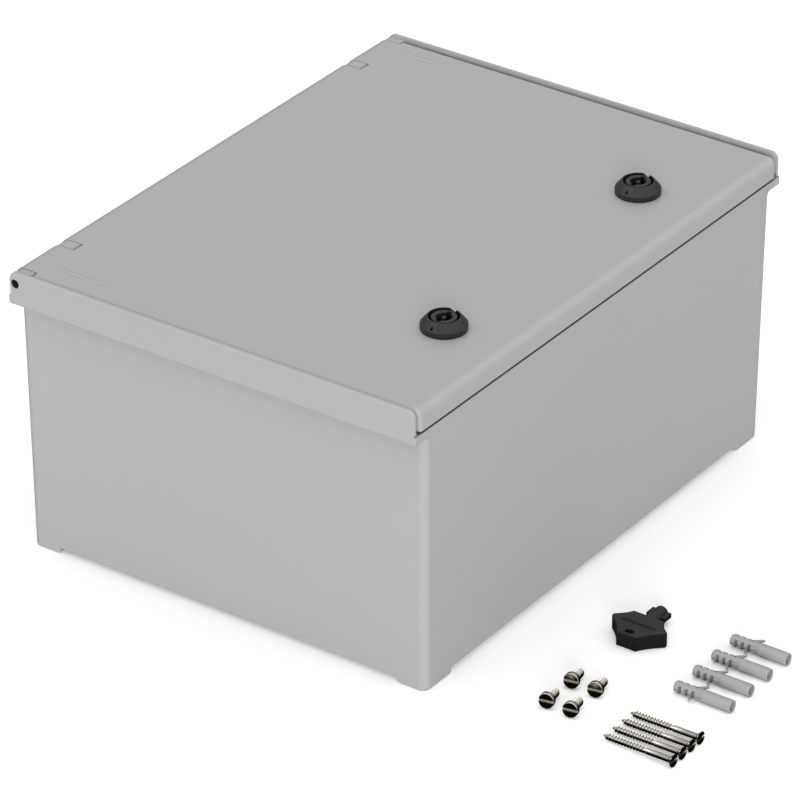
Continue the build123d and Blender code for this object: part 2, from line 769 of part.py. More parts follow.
# Wall plugs: a split nose with grooves and two swept barbs, and a plain mouth
wall_plug_radius = wall_plug_diameter / 2
wall_plug_places = [
    (wall_plug_x, wall_plug_middle_y + (place - (kit_count - 1) / 2) * wall_plug_pitch, wall_plug_radius)
    for place in range(kit_count)
]
wall_plug_noses = [Plane(place, x_dir=(0, 1, 0), z_dir=(1, 0, 0)) for place in wall_plug_places]
wall_plug_middles = [Plane(place) for place in wall_plug_places]
with BuildPart() as wall_plugs:
    with BuildSketch(*wall_plug_noses):
        Circle(wall_plug_radius)
    extrude(amount=wall_plug_length)
    chamfer(wall_plugs.edges().group_by(Axis.X)[0], length=wall_plug_nose_bevel)
    for side, barb_x in ((-1, wall_plug_near_barb_x), (1, wall_plug_far_barb_x)):
        barb_side = [plane.offset(side * wall_plug_split / 2) for plane in wall_plug_middles]
        with BuildSketch(*barb_side):
            with BuildLine():
                root = side * (wall_plug_radius - wall_plug_groove_depth)
                tip = side * (wall_plug_radius + wall_plug_barb_reach)
                Polyline(
                    (barb_x, root), (barb_x + wall_plug_barb_sweep - wall_plug_barb_tip, tip),
                    (barb_x + wall_plug_barb_sweep, tip), (barb_x + wall_plug_barb_root, root),
                    close=True,
                )
            make_face()
        extrude(amount=side * wall_plug_barb_height)
        with BuildSketch(*barb_side):
            with Locations((wall_plug_groove_start + wall_plug_groove_pitch * (wall_plug_grooves - 1) / 2,
                            side * (wall_plug_radius - wall_plug_groove_depth / 2))):
                with GridLocations(wall_plug_groove_pitch, 1, wall_plug_grooves, 1):
                    Rectangle(wall_plug_groove_width, wall_plug_groove_depth)
        extrude(amount=side * wall_plug_radius, mode=Mode.SUBTRACT)
    with BuildSketch(*[plane.offset(wall_plug_length) for plane in wall_plug_noses]):
        Circle(wall_plug_bore / 2)
    extrude(amount=-wall_plug_bore_depth, mode=Mode.SUBTRACT)
    with BuildSketch(*wall_plug_middles):
        with Locations((wall_plug_split_length / 2, 0)):
            Rectangle(wall_plug_split_length, wall_plug_diameter)
    extrude(amount=wall_plug_split / 2, both=True, mode=Mode.SUBTRACT)

pieces = {
    "body_shell": body_shell.part,
    "hinge_pin_lower": make_pin(-1),
    "hinge_pin_upper": make_pin(1),
    "plate_inserts": plate_inserts.part,
    "door_panel": door_panel.part,
    "door_gasket": door_gasket.part,
    "key": key.part,
    "plate_screws": plate_screws.part,
    "wall_screws": wall_screws.part,
    "wall_plugs": wall_plugs.part,
}
for lock, y in (("lower_lock", -lock_y), ("upper_lock", lock_y)):
    pieces[lock + "_bezel"] = make_bezel(y)
    pieces[lock + "_seal"] = make_lock_seal(y)
    pieces[lock + "_nut"] = make_nut(y)
    pieces[lock + "_barrel"] = make_barrel(y)
    pieces[lock + "_tongue"] = make_tongue(y)
    pieces[lock + "_washer"] = make_washer(y)
    pieces[lock + "_screw"] = make_cam_screw(y)

os.makedirs("parts", exist_ok=True)
for name, piece in pieces.items():
    piece.label = name
    export_step(piece, "parts/" + name + ".step")
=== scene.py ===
import math
from types import SimpleNamespace

import bmesh
import bpy
import numpy as np
from bpy.props import FloatProperty, FloatVectorProperty, PointerProperty
from mathutils import Matrix, Vector


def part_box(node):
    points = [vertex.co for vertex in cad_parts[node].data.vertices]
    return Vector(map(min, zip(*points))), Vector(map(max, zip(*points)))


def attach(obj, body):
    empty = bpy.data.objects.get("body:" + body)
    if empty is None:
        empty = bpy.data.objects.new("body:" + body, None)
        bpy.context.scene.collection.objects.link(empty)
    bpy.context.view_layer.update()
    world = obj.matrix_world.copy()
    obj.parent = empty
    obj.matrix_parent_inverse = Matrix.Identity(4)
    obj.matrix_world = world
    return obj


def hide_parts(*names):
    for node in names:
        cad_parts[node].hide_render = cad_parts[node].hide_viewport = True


bl_info = {
    "name": "Plastic Wall Cabinet",
    "version": (1, 0, 0),
    "blender": (4, 5, 0),
    "location": "View3D > Sidebar > Wall Cabinet",
    "description": "Dresses a hinged plastic wall cabinet, its locks, key and loose fixings",
    "category": "Add Mesh",
}

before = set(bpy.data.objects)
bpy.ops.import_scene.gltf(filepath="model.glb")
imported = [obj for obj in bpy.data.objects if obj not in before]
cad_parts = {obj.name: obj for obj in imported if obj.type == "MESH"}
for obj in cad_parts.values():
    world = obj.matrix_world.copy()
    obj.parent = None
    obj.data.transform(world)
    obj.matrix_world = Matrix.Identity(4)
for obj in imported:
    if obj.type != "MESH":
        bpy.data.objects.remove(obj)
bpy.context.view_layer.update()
MM = 0.001

# Points nearer than this in millimetres are one point, and edges sharper than this angle stay sharp
MERGE_DISTANCE = 0.002
CREASE_ANGLE = math.radians(35.0)
# Keeps a cosine or sine that something is divided by off zero
NEARLY_ZERO = 1e-9

# Sockets that Blender tells apart by number only: those of a Mix node for colours, and those of a
# Math node that compares a value with a target and allows it a difference
MIX_FACTOR, MIX_A, MIX_B, MIX_RESULT = 0, 6, 7, 2
COMPARED, TARGET, DIFFERENCE = 0, 1, 2

# Painted shade darkens the gap between the body and the door between these heights, in millimetres
SEAM = (181.6, 184.8)

# The camera that was fitted to the photograph's edges: places in metres, lens in millimetres. Its
# lens is long, so parallel edges hardly close up
CAMERA_PLACE = Vector((1.72687, -2.45798, 1.79344))
CAMERA_FORWARD = Vector((-0.49847677, 0.70896685, -0.49888567)).normalized()
CAMERA_DISTANCE = 3.4483
CAMERA_LENS, CAMERA_SENSOR = 248.53, 36.0


# Materials

def channels(code):
    """The red, green and blue of an sRGB hex code, from 0 to 1."""
    return [int(code[i:i + 2], 16) / 255 for i in (1, 3, 5)]


def linear(code):
    """An sRGB hex code as linear RGBA."""
    return [c / 12.92 if c <= 0.04045 else ((c + 0.055) / 1.055) ** 2.4 for c in channels(code)] + [1.0]


def hex_code(values):
    """A colour setting as its sRGB hex code."""
    return "#%02x%02x%02x" % tuple(round(255 * value) for value in values)


def scaled(rgba, factor):
    """A linear colour made darker or paler by a factor."""
    return [min(1.0, channel * factor) for channel in rgba[:3]] + [1.0]


def add(tree, kind, values=(), links=(), **settings):
    """One node of that kind, with its settings, its sockets' values and what feeds its sockets."""
    node = tree.nodes.new(kind)
    for name, value in settings.items():
        setattr(node, name, value)
    for socket, value in dict(values).items():
        node.inputs[socket].default_value = value
    for socket, source in dict(links).items():
        tree.links.new(source, node.inputs[socket])
    return node


def blank(name):
    """A material with its shader and output only."""
    material = bpy.data.materials.new(name)
    material.use_nodes = True
    tree = material.node_tree
    tree.nodes.clear()
    shader = add(tree, "ShaderNodeBsdfPrincipled")
    add(tree, "ShaderNodeOutputMaterial", links={"Surface": shader.outputs["BSDF"]})
    return material, shader


def grained(name, colours, cloud, roughness, grain, detail, relief, strength):
    """A material whose colour wanders between two colours in clouds of that size in millimetres,
    with a grain of its own size in its gloss, between two roughnesses, and in its relief. The
    patterns read object coordinates. Gives what the finishes change or add to."""
    material, shader = blank(name)
    tree = material.node_tree
    place = add(tree, "ShaderNodeTexCoord").outputs["Object"]
    fine = add(tree, "ShaderNodeTexNoise", {"Scale": 1000 / grain, "Detail": detail}, {"Vector": place})
    slow = add(tree, "ShaderNodeTexNoise", {"Scale": 1000 / cloud, "Detail": 3.0}, {"Vector": place})
    tint = add(tree, "ShaderNodeMix", {MIX_A: colours[0], MIX_B: colours[1]},
               {MIX_FACTOR: slow.outputs["Fac"]}, data_type="RGBA")
    # The noise lies mostly between 0.3 and 0.7
    gloss = add(tree, "ShaderNodeMapRange",
                {"From Min": 0.3, "From Max": 0.7, "To Min": roughness[0], "To Max": roughness[1]},
                {"Value": fine.outputs["Fac"]})
    bump = add(tree, "ShaderNodeBump", {"Strength": strength, "Distance": relief * MM},
               {"Height": fine.outputs["Fac"]})
    tree.links.new(tint.outputs[MIX_RESULT], shader.inputs["Base Color"])
    tree.links.new(gloss.outputs["Result"], shader.inputs["Roughness"])
    tree.links.new(bump.outputs["Normal"], shader.inputs["Normal"])
    return SimpleNamespace(material=material, tree=tree, shader=shader, place=place,
                           paint=tint.outputs[MIX_RESULT], bump=bump)


def moulded(name, colour, roughness, grain, relief, cloudiness, cloud, hollow=0.0, seam=None, edge=0.0):
    """A moulded plastic: a matt grain left by the mould, standing relief millimetres high, and a
    faint cloudiness where the melt flowed. Painted shade from ambient occlusion darkens hollows up to
    hollow millimetres wide, only between the two heights of seam if it is given. Sharp edges shine
    as if rounded by edge millimetres."""
    base, swing = linear(colour), 0.06
    made = grained(name, colours=(scaled(base, 1 - cloudiness), scaled(base, 1 + cloudiness)),
                   cloud=cloud, roughness=(roughness - swing, roughness + swing), grain=grain,
                   detail=2.0, relief=relief, strength=1.0)
    made.shader.inputs["IOR"].default_value = 1.5
    tree = made.tree
    if edge:
        soft = add(tree, "ShaderNodeBevel", {"Radius": edge * MM}, samples=6)
        tree.links.new(soft.outputs["Normal"], made.bump.inputs["Normal"])
    # Painted shade: ambient occlusion darkens the base colour in hollows, only between the seam's
    # heights if given
    if hollow:
        unshaded = made.paint
        paint = add(tree, "ShaderNodeAmbientOcclusion", {"Distance": hollow * MM}, {"Color": unshaded},
                    samples=8).outputs["Color"]
        if seam:
            low, high = seam
            height = add(tree, "ShaderNodeSeparateXYZ", links={"Vector": made.place}).outputs["Z"]
            near = add(tree, "ShaderNodeMath",
                       {TARGET: (low + high) / 2 * MM, DIFFERENCE: (high - low) / 2 * MM},
                       {COMPARED: height}, operation="COMPARE")
            paint = add(tree, "ShaderNodeMix",
                        links={MIX_FACTOR: near.outputs["Value"], MIX_A: unshaded, MIX_B: paint},
                        data_type="RGBA").outputs[MIX_RESULT]
        tree.links.new(paint, made.shader.inputs["Base Color"])
    return made.material


def plated(name, colour, roughness, grain, stain):
    """A plated or turned metal: a fine crystalline grain in its gloss, and patches of a few
    millimetres where it is a little greyer, by the share stain."""
    base, patch, swing = linear(colour), 6.0, 0.25
    made = grained(name, colours=(base, scaled(base, 1 - stain)), cloud=patch,
                   roughness=(roughness * (1 - swing), roughness * (1 + swing)), grain=grain,
                   detail=3.0, relief=0.01, strength=0.5)
    made.shader.inputs["Metallic"].default_value = 1.0
    return made.material


def recipe(name):
    """What the material of that name really is: its maker, and its measures in millimetres."""
    look = bpy.context.scene.wall_cabinet
    return {
        # Light grey ABS, injection moulded: satin, very even, with a grain too fine to see as dots.
        # The gap between the body and the door is darkened with painted shade
        "grey_abs_moulded": (moulded, dict(
            colour=hex_code(look.cabinet_colour), roughness=0.34, grain=0.7, relief=0.004,
            cloudiness=0.012, cloud=90.0, hollow=4.0, seam=SEAM, edge=0.3)),
        # Glass-filled nylon, injection moulded: near black, dull, slightly sparkling at a low angle
        # Painted shade darkens its hollows
        "black_glass_nylon_moulded": (moulded, dict(
            colour=hex_code(look.lock_colour), roughness=0.48, grain=0.5, relief=0.015,
            cloudiness=0.08, cloud=12.0, hollow=5.0)),
        # Nylon key, injection moulded: darker and more matt than the locks
        # Painted shade darkens its hollows
        "black_nylon_key_moulded": (moulded, dict(
            colour=hex_code(look.key_colour), roughness=0.55, grain=0.5, relief=0.02,
            cloudiness=0.08, cloud=12.0, hollow=3.0)),
        # Unfilled nylon plugs, moulded: mid grey with a waxy gloss
        # Painted shade darkens its hollows
        "grey_nylon_plug_moulded": (moulded, dict(
            colour=hex_code(look.plug_colour), roughness=0.4, grain=0.6, relief=0.02,
            cloudiness=0.05, cloud=15.0, hollow=2.5)),
        # Foamed polyurethane: charcoal, dull, with open pores of about a millimetre
        "foamed_polyurethane_seal": (moulded, dict(
            colour="#2c2d2e", roughness=0.85, grain=1.2, relief=0.25, cloudiness=0.2, cloud=8.0)),
        # Pressed EPDM rubber: black and dull
        "pressed_epdm_rubber": (moulded, dict(
            colour="#1d1e1f", roughness=0.7, grain=0.8, relief=0.02, cloudiness=0.1, cloud=10.0)),
        # Nickel-plated steel, cold headed: bright and a little warm
        "nickel_plated_steel": (plated, dict(colour="#d4d0c5", roughness=0.18, grain=0.4, stain=0.3)),
        # Zinc-plated steel, barrel plated: pale, bluish and cloudier than nickel
        "zinc_plated_steel": (plated, dict(colour="#bcc0c3", roughness=0.34, grain=0.5, stain=0.3)),
        # Free-cutting brass, turned: yellow, with soft machining marks
        "turned_brass": (plated, dict(colour="#c9a45c", roughness=0.3, grain=0.3, stain=0.2)),
    }[name]


MATERIALS = {}


def finish(name):
    """The material of that name, made once."""
    if name not in MATERIALS:
        maker, measures = recipe(name)
        MATERIALS[name] = maker(name, **measures)
    return MATERIALS[name]


def dress(node, name):
    """A CAD node keeps its shape and gets the material of that name."""
    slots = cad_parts[node].data.materials
    slots.clear()
    slots.append(finish(name))


# Surfaces, in millimetres

def quads(rows, columns, wrap):
    """Faces of a grid of points in row order; wrap joins the last column to the first."""
    i = np.arange(rows - 1)[:, None]
    j = np.arange(columns if wrap else columns - 1)[None, :]
    k = (j + 1) % columns
    this, following = i * columns, (i + 1) * columns
    return np.stack([this + j, this + k, following + k, following + j], -1).reshape(-1, 4)


def build(name, grids, body, material, stands_for):
    """One piece from grids of points, each (rows, columns, 3) with its wrap flag. A point that
    isn't a number leaves a hole. Points that meet are merged, and faces are turned outwards."""
    points, faces, count = [], [], 0
    for grid, wrap in grids:
        rows, columns = grid.shape[:2]
        points.append(grid.reshape(-1, 3))
        faces.append(quads(rows, columns, wrap) + count)
        count += rows * columns
    points, faces = np.concatenate(points), np.concatenate(faces)
    there = ~np.isnan(points[:, 0])
    faces = (np.cumsum(there) - 1)[faces[there[faces].all(axis=1)]]
    mesh = bpy.data.meshes.new(name)
    mesh.from_pydata((points[there] * MM).tolist(), [], faces.tolist())
    work = bmesh.new()
    work.from_mesh(mesh)
    bmesh.ops.remove_doubles(work, verts=work.verts, dist=MERGE_DISTANCE * MM)
    bmesh.ops.dissolve_degenerate(work, edges=work.edges, dist=MERGE_DISTANCE * MM)
    bmesh.ops.recalc_face_normals(work, faces=work.faces)
    work.to_mesh(mesh)
    work.free()
    mesh.polygons.foreach_set("use_smooth", np.ones(len(mesh.polygons), bool))
    mesh.set_sharp_from_angle(angle=CREASE_ANGLE)
    mesh.materials.append(finish(material))
    piece = bpy.data.objects.new(name, mesh)
    bpy.context.scene.collection.objects.link(piece)
    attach(piece, body)
    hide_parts(*stands_for)


def rounded(corners, steps):
    """A profile line whose corners are arcs. Each corner is (r, z, radius). An arc starts and ends
    radius / tan(half the corner's angle) from the corner, and its middle bulges towards it; it is
    drawn as the quadratic curve through those three points, which is within a few microns of round."""
    points = []
    for index, (r, z, radius) in enumerate(corners):
        here = np.array([r, z])
        if radius == 0 or index in (0, len(corners) - 1):
            points.append(here[None])
            continue
        back = np.array(corners[index - 1][:2]) - here
        ahead = np.array(corners[index + 1][:2]) - here
        back, ahead = back / np.linalg.norm(back), ahead / np.linalg.norm(ahead)
        half = math.acos(np.clip(back @ ahead, -1, 1)) / 2
        reach = radius / math.tan(half)
        weight = math.sin(half)
        t = np.linspace(0, 1, steps)[:, None]
        first, middle, last = (1 - t) ** 2, 2 * weight * t * (1 - t), t ** 2
        arc = first * (here + back * reach) + middle * here + last * (here + ahead * reach)
        points.append(arc / (first + middle + last))
    return np.concatenate(points)


def finer(line, step):
    """The same line with points at most step apart along it."""
    spans = np.linalg.norm(np.diff(line, axis=0), axis=1)
    counts = np.maximum(1, np.ceil(spans / step).astype(int))
    where = np.concatenate([k + np.arange(n) / n for k, n in enumerate(counts)] + [[len(line) - 1]])
    index = np.arange(len(line))
    return np.stack([np.interp(where, index, line[:, 0]), np.interp(where, index, line[:, 1])], 1)


def round_turn(count, *extra):
    """The angles of a whole turn in count steps, with extra ones among them."""
    even = np.linspace(0, 2 * np.pi, count + 1)[:-1]
    return np.unique(np.round(np.concatenate([even, *extra]), 6))


def about_axis(radius, height, angles):
    """Rings of points about the Z axis, (radius cos, radius sin, height), one to a row."""
    return np.stack([radius * np.cos(angles), radius * np.sin(angles), height + 0 * angles], -1)


def turned(line, angles):
    """A profile of (radius, height) turned about the Z axis through the given angles."""
    return about_axis(line[:, 0, None], line[:, 1, None], angles)


def ringed(rings, angles):
    """Rings about the Z axis that needn't be round. Each is (its radius at each angle, its height)."""
    return about_axis(np.array([r for r, z in rings]), np.array([[z] for r, z in rings]), angles)


def border(grid):
    """The points round the border of a grid, in order."""
    return np.concatenate([grid[0], grid[1:, -1], grid[-1, -2::-1], grid[-2:0:-1, 0]])


def lock_housing(sizes, centre_x, centre_y, foot, top):
    """The bezel and its stem: a profile turned about the lock's axis. The stem's radius then loses
    depth * |2 turn - 1| for the thread. The lip is cut by a V-shaped notch that falls away
    outwards, height <= floor + slope * |x| - fall * (radius - bore), and a pit is sunk in the cone."""
    seat = top - sizes.bezel_height
    mouth = top - sizes.bezel_recess
    flange = seat + 3.6
    outer, lip, bore = sizes.bezel_radius, sizes.lip_radius, sizes.mouth_radius
    stem, stem_bore, bevel = 9.5, 8.06, 0.3
    ring_inner, ring_outer, ring_top = 10.38, 12.82, seat + 1.0
    profile = np.concatenate([
        [[stem_bore, foot], [stem - bevel, foot]],
        finer(np.array([[stem, foot + bevel], [stem, seat]]), step=0.25),
        [[ring_inner, seat], [ring_inner, ring_top], [ring_outer, ring_top], [ring_outer, seat]],
        rounded([(ring_outer, seat, 0), (outer, seat, 0.3), (outer, flange, 0.9), (lip, top, 0.3),
                 (bore, top, 0.15), (bore, mouth, 0)], steps=6)[1:],
        [[stem_bore, mouth], [stem_bore, foot]],
    ])
    profile = finer(profile, step=0.4)
    # More points where the notch and the pit are cut
    on_cone = (profile[:, 0] > bore - 0.01) & (profile[:, 1] > flange + 0.1)
    first, last = np.flatnonzero(on_cone)[[0, -1]]
    cone = finer(profile[first:last + 1], step=0.12)
    profile = np.concatenate([profile[:first], cone, profile[last + 1:]])
    notch_middle, notch_reach = np.pi / 2, 0.24
    pit_middle, pit_reach = 1.5 * np.pi, 0.12
    shape = turned(profile, round_turn(
        144, np.linspace(notch_middle - notch_reach, notch_middle + notch_reach, 49),
        np.linspace(pit_middle - pit_reach, pit_middle + pit_reach, 37)))
    x, y, z = shape[..., 0], shape[..., 1], shape[..., 2]
    radius = np.hypot(x, y)

    thread_pitch, thread_depth, thread_start, thread_end = 1.5, 0.45, foot + 0.5, seat - 3.2
    turn = np.mod(z / thread_pitch - np.arctan2(y, x) / (2 * np.pi), 1)
    on_stem = (np.abs(radius - stem) < 0.02) & (z > thread_start) & (z < thread_end)
    cut = np.where(on_stem, thread_depth * np.abs(2 * turn - 1), 0)
    x, y = x * (1 - cut / stem), y * (1 - cut / stem)

    notch_fall = 0.7
    notch = top - sizes.notch_depth + np.abs(x) * 2 * sizes.notch_depth / sizes.notch_width
    notch = notch - notch_fall * np.maximum(radius - bore, 0)
    in_notch = (y > 0) & (radius > stem) & (z > flange)
    z = np.where(in_notch, np.minimum(z, np.maximum(notch, flange)), z)

    pit_floor, pit_wall = seat + 1.2, 0.12
    away = np.hypot(x, y + sizes.pit_from_centre) / sizes.pit_radius
    sunk = np.clip((1.0 - away) / pit_wall, 0, 1)
    z = np.where((z > seat + 2.0) & (radius > lip), z - sunk * (z - pit_floor), z)
    return np.stack([x + centre_x, y + centre_y, z], -1)


def lock_plug(sizes, centre_x, centre_y, foot, top):
    """The turning plug: rings of polar outlines. A ring is a circle, the keyhole (a circle with two
    slots: radius = max(circle, min(reach / |sin|, half width / |cos|))) or the tang's square
    (half side / max(|cos|, |sin|))."""
    edge = sizes.bit_slot_half_width
    slot = math.atan2(edge, sizes.bit_slot_reach)
    key_corner = math.acos(edge / sizes.keyhole_radius)
    # Two angles a hair apart at each corner of the keyhole, so that it stays sharp
    hair = 1e-4
    corners = np.concatenate([[np.pi / 2 + way * a + side * hair for way in (-1, 1) for side in (-1, 1)]
                              for a in (slot, np.pi / 2 - key_corner)])
    angles = round_turn(120, corners, corners + np.pi, np.pi / 4 + np.arange(4) * np.pi / 2)
    c, s = np.abs(np.cos(angles)) + NEARLY_ZERO, np.abs(np.sin(angles)) + NEARLY_ZERO
    keyhole = np.maximum(sizes.keyhole_radius, np.minimum(sizes.bit_slot_reach / s, edge / c))
    screw_bore, screw_end = 2.52, foot + 11.98
    tang_half, tang_top, bevel = 4.0, foot + 3.28, 0.3
    square = tang_half / np.maximum(c, s)
    circle = np.ones_like(angles)
    barrel, collar, collar_bevel = 8.0, 9.2, 0.1
    # The plug's face lies a little under the lip, and its collar just over the step inside it
    face_drop, collar_gap = 0.4, 0.06
    collar_foot = top + face_drop + collar_gap - sizes.bezel_recess
    collar_top = collar_foot + 0.8
    keyhole_floor, rim_limit = top - 13.0, 7.5
    pin, pin_top = 1.5, top - sizes.guide_pin_drop
    # Rounded rims: how far each ring stands from the side and down from the face
    barrel_rim = ((0.0, 0.5), (0.07, 0.22), (0.22, 0.06), (0.45, 0.0))
    keyhole_rim = ((0.45, 0.0), (0.2, 0.06), (0.05, 0.2), (0.0, 0.4))
    pin_rim = ((0.0, 0.4), (0.15, 0.12), (0.5, 0.0))
    rings = [
        (0 * circle, screw_end), (screw_bore * circle, screw_end), (screw_bore * circle, foot),
        (square - bevel, foot), (square, foot + bevel), (square, tang_top),
        ((barrel - bevel) * circle, tang_top), (barrel * circle, tang_top + bevel),
        (barrel * circle, collar_foot), ((collar - collar_bevel) * circle, collar_foot),
        (collar * circle, collar_foot + collar_bevel), (collar * circle, collar_top - collar_bevel),
        ((collar - collar_bevel) * circle, collar_top), (barrel * circle, collar_top),
        *[((barrel - inward) * circle, top - down) for inward, down in barrel_rim],
        *[(np.minimum(keyhole + outward, rim_limit), top - down) for outward, down in keyhole_rim],
        (keyhole, keyhole_floor), (pin * circle, keyhole_floor),
        *[((pin - inward) * circle, pin_top - down) for inward, down in pin_rim],
        (0 * circle, pin_top),
    ]
    return ringed(rings, angles) + np.array([centre_x, centre_y, 0])


def slot_face(radius, slot_width, slot_depth, edge, floor_radius):
    """A screw's head face, seen down the screw with its middle at the origin. Lines of constant y
    cross the disc, x = u * sqrt(radius^2 - y^2); two of them stand at each wall of the slot, one
    on the face and one on the slot's floor, where the head has floor_radius. The rim is rounded
    by edge. Also gives the rim."""
    half, lines, columns = slot_width / 2, 11, 25
    outside = radius * np.sin(np.linspace(math.asin(half / radius), np.pi / 2, lines))
    y = np.concatenate([-outside[::-1], [-half, half], outside])
    sunk = np.concatenate([np.zeros(lines), [1, 1], np.zeros(lines)]) * slot_depth
    u = np.sin(np.linspace(-np.pi / 2, np.pi / 2, columns))
    reach = np.where(sunk > 0, floor_radius, radius)
    x = u * np.sqrt(np.maximum(reach ** 2 - y ** 2, 0))[:, None]
    inward = np.clip(edge - (radius - np.hypot(x, y[:, None])), 0, edge)
    z = np.maximum(edge - np.sqrt(edge ** 2 - inward ** 2), sunk[:, None])
    face = np.stack([x, y[:, None] + 0 * x, z], -1)
    return face, np.concatenate([face[:, -1], face[::-1, 0]])


def screw(radius, slot_width, slot_depth, edge, floor_radius, under_head, core, crest, pitch, start,
          end, point_length, tooth, steps):
    """A slotted screw with its head face at the origin and its shank along +Z. From the face's rim
    a profile, under_head as (radius, distance from the face), is turned down the head and neck; then
    the thread is a helical sweep, z = s + pitch * angle / 2 pi, whose radius between core and crest
    follows tooth along s: shares of the pitch, and the height there from 0 to 1. The shank narrows
    to a point over point_length, or ends blunt where that is 0."""
    face, rim = slot_face(radius, slot_width, slot_depth, edge, floor_radius)
    around = np.unwrap(np.arctan2(rim[:, 1], rim[:, 0]))
    angles = around - around[0]
    neck = np.array(under_head)
    reach = np.minimum(neck[:, 0, None], np.hypot(rim[:, 0], rim[:, 1]))
    head = np.stack([reach * np.cos(around), reach * np.sin(around),
                     np.maximum(neck[:, 1, None], rim[:, 2])], -1)
    s = np.arange(start - pitch, end + NEARLY_ZERO, pitch / steps)
    z = s[:, None] + pitch * angles / (2 * np.pi)
    level = np.interp(np.mod(s, pitch) / pitch, tooth[0], tooth[1])[:, None]
    run_in = 0.6 * pitch
    run_out = pitch if point_length else 0.8 * pitch
    fade = np.clip((z - start) / run_in, 0, 1) * np.clip((end - z) / run_out, 0, 1)
    narrow, blunt = np.ones_like(z), 0.9
    if point_length:
        narrow = np.clip(0.5 + 0.5 * (end - z) / point_length, 0, 1)
        blunt = narrow[-1, 0]
    r = (core + (crest - core) * level * fade) * narrow
    thread = np.stack([r * np.cos(around), r * np.sin(around), np.clip(z, start, end)], -1)
    tip = turned(np.array([[core * blunt, end], [0, end]]), around)
    return [(face, False), (np.concatenate([rim[None], head, thread, tip]), False)]


def lying(grids, x, y, head_radius, head_drop, tip_radius, tip_distance, heading):
    """Moves a screw so that it lies on its head's rim and on its tip, pointing along heading."""
    tilt = math.atan2(head_radius - tip_radius, tip_distance)
    turn = math.radians(heading)
    along = np.array([math.cos(turn) * math.cos(tilt), math.sin(turn) * math.cos(tilt), -math.sin(tilt)])
    across = np.array([-math.sin(turn), math.cos(turn), 0])
    up = np.cross(along, across)
    origin = np.array([x, y, head_radius * math.cos(tilt) + head_drop * math.sin(tilt)])
    basis = np.stack([across, up, along])
    return [(grid @ basis + origin, wrap) for grid, wrap in grids]


def swept_barb(start, tip, root_width, tip_width, height, bow):
    """A barb: a section, root_width long and height tall, with sides like |cos|^0.5, carried from
    start to tip in the horizontal plane. On the way it narrows as t^0.8 and loses a quarter of its
    height, and its line bows towards -X by 4 bow t (1 - t)."""
    t = np.linspace(0, 1, 9)[:, None]
    a = np.linspace(0, 2 * np.pi, 17)[None, :-1]
    width = root_width + (tip_width - root_width) * t ** 0.8
    tall = height * (1 - 0.25 * t)
    c, s = np.cos(a), np.sin(a)
    x = start[0] + (tip[0] - start[0]) * t - 4 * bow * t * (1 - t)
    y = start[1] + (tip[1] - start[1]) * t
    section_x = np.sign(c) * np.abs(c) ** 0.5 * width / 2
    section_z = np.sign(s) * np.abs(s) ** 0.5 * tall / 2
    barb = np.stack([x + section_x, y + 0 * section_x, start[2] + section_z], -1)
    caps = barb[[0, -1]].mean(axis=1, keepdims=True) + 0 * barb[[0, -1]]
    return np.concatenate([caps[:1], barb, caps[1:]])


